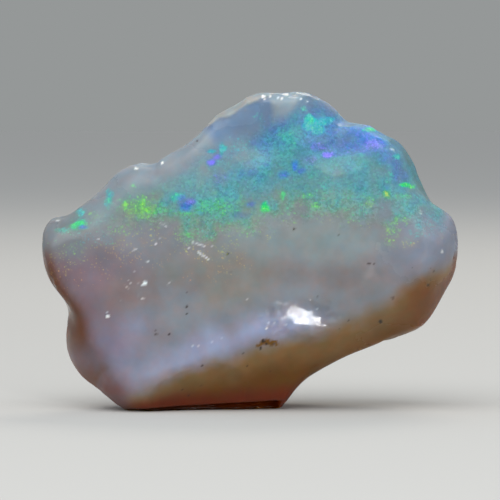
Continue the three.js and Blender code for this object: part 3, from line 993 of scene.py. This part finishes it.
# %% Opal: haze
# Even where no grain is lit, the layer is hazy with colour. It is a mosaic of grains, each a
# little lighter or darker than the next and with a hue of its own. Their size is in mm. The
# masks give each hue as a number from 0 to 1, and these are the colours that it stands for.
HUES = [(0.0, "#ff8a3c"), (0.16, "#d8d040"), (0.30, "#86e23c"), (0.44, "#14d870"),
        (0.60, "#08b4b4"), (0.78, "#397cc9"), (1.0, "#8f7cff")]
HAZE = 0.6
FLASH_HAZE = 0.75
MOSAIC_SIZE = 0.16
MOSAIC = 0.22
MOSAIC_HUE = 0.04

tiles = add(tree, "ShaderNodeTexVoronoi", {"Vector": place, "Scale": 1 / MOSAIC_SIZE})
tiles = add(tree, "ShaderNodeSeparateColor", {"Color": tiles.outputs["Color"]}).outputs
tile_hue = add(tree, "ShaderNodeMapRange",
               {"Value": tiles["Green"], "To Min": -MOSAIC_HUE, "To Max": MOSAIC_HUE}).outputs[0]
tile_hue = add(tree, "ShaderNodeMath", {0: tile_hue, 1: masks["haze_hue"]}, operation="ADD",
               use_clamp=True).outputs[0]
haze_colour = add(tree, "ShaderNodeValToRGB", {"Fac": tile_hue}, stops=HUES).outputs["Color"]
haze = 0.0
for name, strength in (("haze", HAZE), ("glow", FLASH_HAZE)):
    haze = add(tree, "ShaderNodeMath", {0: masks[name], 1: strength, 2: haze},
               operation="MULTIPLY_ADD", use_clamp=True).outputs[0]
colour = add(tree, "ShaderNodeMix", {"Factor": haze, 6: colour, 7: haze_colour},
             data_type="RGBA").outputs[2]

shade = add(tree, "ShaderNodeMapRange",
            {"Value": tiles["Red"], "To Min": -MOSAIC, "To Max": MOSAIC}).outputs[0]
shade = add(tree, "ShaderNodeMath", {0: shade, 1: masks["fire"], 2: 1.0},
            operation="MULTIPLY_ADD").outputs[0]
colour = add(tree, "ShaderNodeVectorMath", {0: colour, "Scale": shade},
             operation="SCALE").outputs[0]

# %% Opal: grains
# Each layer of grains has their size in mm, what share is lit where the fire, the flashes and
# the sparks are full, how strong they are, and a seed. The finest real grains are about as
# small as these.
GRAINS = [
    (0.11, 0.45, 0.85, 0.34, 0.7, 0.0),
    (0.17, 0.2, 0.6, 0.14, 1.0, 40.0),
    (0.30, 0.03, 0.65, 0.02, 0.8, 80.0),
]
# Where a grain ends and where it is full, as a share of its size.
GRAIN_EDGE = (0.75, 0.35)
# A grain is lit when its own chance is below the share, and fully when it is this far below.
LIT_EDGE = 0.1
# Even the faintest grain has this much strength.
FAINTEST = 0.1
# How far a grain's hue may be from that of its place.
HUE_RANGE = (-0.07, 0.05)
# How far the brightest grains go towards white.
PALENESS = 0.12
# Lit grains also shine a little by themselves, for the light that they throw back.
GLOW = 0.09

emission = (0, 0, 0, 1)
for size, in_fire, in_flash, in_sparks, strength, seed in GRAINS:
    moved = add(tree, "ShaderNodeVectorMath", {0: place, 1: (seed, seed, seed)},
                operation="ADD").outputs[0]
    cells = add(tree, "ShaderNodeTexVoronoi", {"Vector": moved, "Scale": 1 / size})
    draws = add(tree, "ShaderNodeSeparateColor", {"Color": cells.outputs["Color"]}).outputs
    dot = add(tree, "ShaderNodeMapRange",
              {"Value": cells.outputs["Distance"],
               "From Min": GRAIN_EDGE[0], "From Max": GRAIN_EDGE[1]}).outputs[0]
    share = 0.0
    for name, part in (("fire", in_fire), ("flash", in_flash), ("sparks", in_sparks)):
        share = add(tree, "ShaderNodeMath", {0: masks[name], 1: part, 2: share},
                    operation="MULTIPLY_ADD", use_clamp=True).outputs[0]
    lit = add(tree, "ShaderNodeMath", {0: share, 1: draws["Red"]}, operation="SUBTRACT").outputs[0]
    lit = add(tree, "ShaderNodeMapRange",
              {"Value": lit, "From Min": 0.0, "From Max": LIT_EDGE}).outputs[0]
    own_strength = add(tree, "ShaderNodeMath", {0: draws["Blue"], 1: strength, 2: FAINTEST},
                       operation="MULTIPLY_ADD", use_clamp=True).outputs[0]
    for factor in (dot, own_strength, masks["power"]):
        lit = add(tree, "ShaderNodeMath", {0: lit, 1: factor},
                  operation="MULTIPLY", use_clamp=True).outputs[0]
    own_hue = add(tree, "ShaderNodeMapRange",
                  {"Value": draws["Green"], "To Min": HUE_RANGE[0],
                   "To Max": HUE_RANGE[1]}).outputs[0]
    own_hue = add(tree, "ShaderNodeMath", {0: own_hue, 1: masks["grain_hue"]}, operation="ADD",
                  use_clamp=True).outputs[0]
    grain_colour = add(tree, "ShaderNodeValToRGB", {"Fac": own_hue}, stops=HUES).outputs["Color"]
    pale = add(tree, "ShaderNodeMath", {0: draws["Blue"], 1: PALENESS},
               operation="MULTIPLY", use_clamp=True).outputs[0]
    grain_colour = add(tree, "ShaderNodeMix", {"Factor": pale, 6: grain_colour, 7: (1, 1, 1, 1)},
                       data_type="RGBA").outputs[2]
    colour = add(tree, "ShaderNodeMix", {"Factor": lit, 6: colour, 7: grain_colour},
                 data_type="RGBA").outputs[2]
    emission = add(tree, "ShaderNodeMix", {"Factor": lit, 6: emission, 7: grain_colour},
                   data_type="RGBA").outputs[2]
tree.links.new(colour, shader.inputs["Base Color"])
tree.links.new(emission, shader.inputs["Emission Color"])
shader.inputs["Emission Strength"].default_value = GLOW
print(len(GRAINS), "layers of grains")

# %% Opal: gloss and depth
# The roughness drifts between two values in patches of a size in mm, and the matt places add
# theirs. Light goes into the stone as far as the reach, in mm, and red light goes furthest.
GLOSS_SIZE = 1.25
ROUGHNESS = (0.14, 0.26)
MATT = 0.3
IOR = 1.45
SUBSURFACE_REACH = 2.5
REACH_OF_RED_GREEN_BLUE = (1.0, 0.7, 0.45)

gloss = add(tree, "ShaderNodeTexNoise", {"Vector": place, "Scale": 1 / GLOSS_SIZE, "Detail": 4.0})
gloss = add(tree, "ShaderNodeMapRange",
            {"Value": gloss.outputs["Fac"], "From Min": 0.35, "From Max": 0.65,
             "To Min": ROUGHNESS[0], "To Max": ROUGHNESS[1]}).outputs[0]
gloss = add(tree, "ShaderNodeMath", {0: masks["matt"], 1: MATT, 2: gloss},
            operation="MULTIPLY_ADD", use_clamp=True).outputs[0]
tree.links.new(gloss, shader.inputs["Roughness"])
shader.inputs["IOR"].default_value = IOR
shader.inputs["Subsurface Weight"].default_value = 1.0
shader.inputs["Subsurface Radius"].default_value = REACH_OF_RED_GREEN_BLUE
shader.inputs["Subsurface Scale"].default_value = SUBSURFACE_REACH * MM
print("gloss, as roughness:", *ROUGHNESS, "and", round(ROUGHNESS[1] + MATT, 2), "where matt")
net.materials.clear()
net.materials.append(opal)

# %% [markdown]
# ## The finished piece
# The stone rides on the one body there is and takes the plain solid's place, and the plain solid
# is hidden.

# %% The finished piece
net.name = "rough_opal"
stone = bpy.data.objects.new("rough_opal", net)
scene.collection.objects.link(stone)
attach(stone, "root")
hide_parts("opal_stone")
